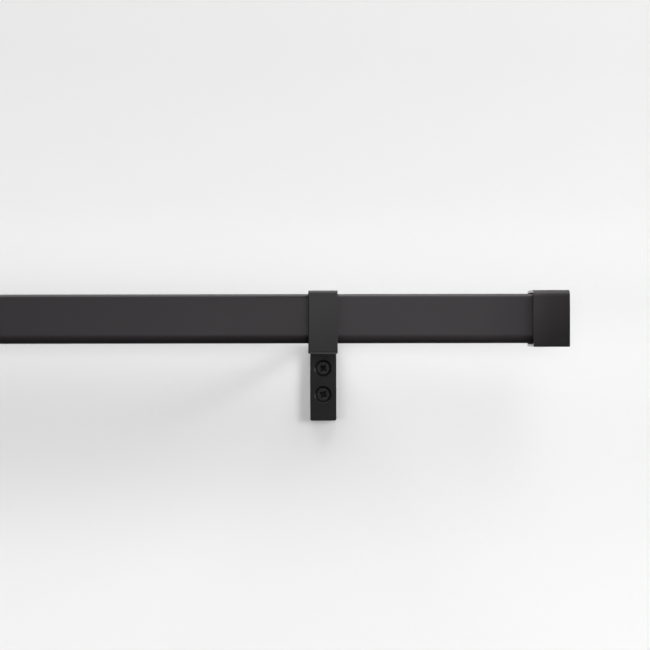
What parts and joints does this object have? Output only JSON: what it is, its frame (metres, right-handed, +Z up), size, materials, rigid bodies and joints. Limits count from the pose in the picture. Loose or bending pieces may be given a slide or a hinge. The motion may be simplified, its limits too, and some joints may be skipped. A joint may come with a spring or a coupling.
{
  "type": "square curtain rod",
  "caption": "Matte black square telescoping curtain rod with square end caps, held by strap collars on flat L-shaped wall brackets with countersunk screws.",
  "frame": {"origin": "on the wall face, midway between the right bracket's wall screws", "axes": "+X along the rod to the right seen from the room, +Y into the wall, +Z up"},
  "size_m": [0.7112, 0.1331, 0.0736],
  "materials": {
    "black_powder_coat": "matte black powder coat on steel",
    "black_nylon": "moulded black nylon",
    "black_screw": "black coated steel"
  },
  "bodies": {
    "outer": {"outer_tube": "black_powder_coat", "guide_sleeve": "black_nylon", "right_end_cap": "black_powder_coat", "right_cap_plug": "black_nylon", "right_cap_screw": "black_screw", "right_bracket": "black_powder_coat", "right_collar": "black_powder_coat", "right_set_screw": "black_screw", "right_wall_screw_upper": "black_screw", "right_wall_screw_lower": "black_screw"},
    "inner": {"inner_tube": "black_powder_coat", "tail_glide": "black_nylon", "left_end_cap": "black_powder_coat", "left_cap_plug": "black_nylon", "left_cap_screw": "black_screw", "left_bracket": "black_powder_coat", "left_collar": "black_powder_coat", "left_set_screw": "black_screw", "left_wall_screw_upper": "black_screw", "left_wall_screw_lower": "black_screw"}
  },
  "joints": [
    {"name": "length_slide", "type": "slide", "parent": "outer", "child": "inner", "axis": [-1, 0, 0], "range_m": [0, 0.508]}
  ]
}
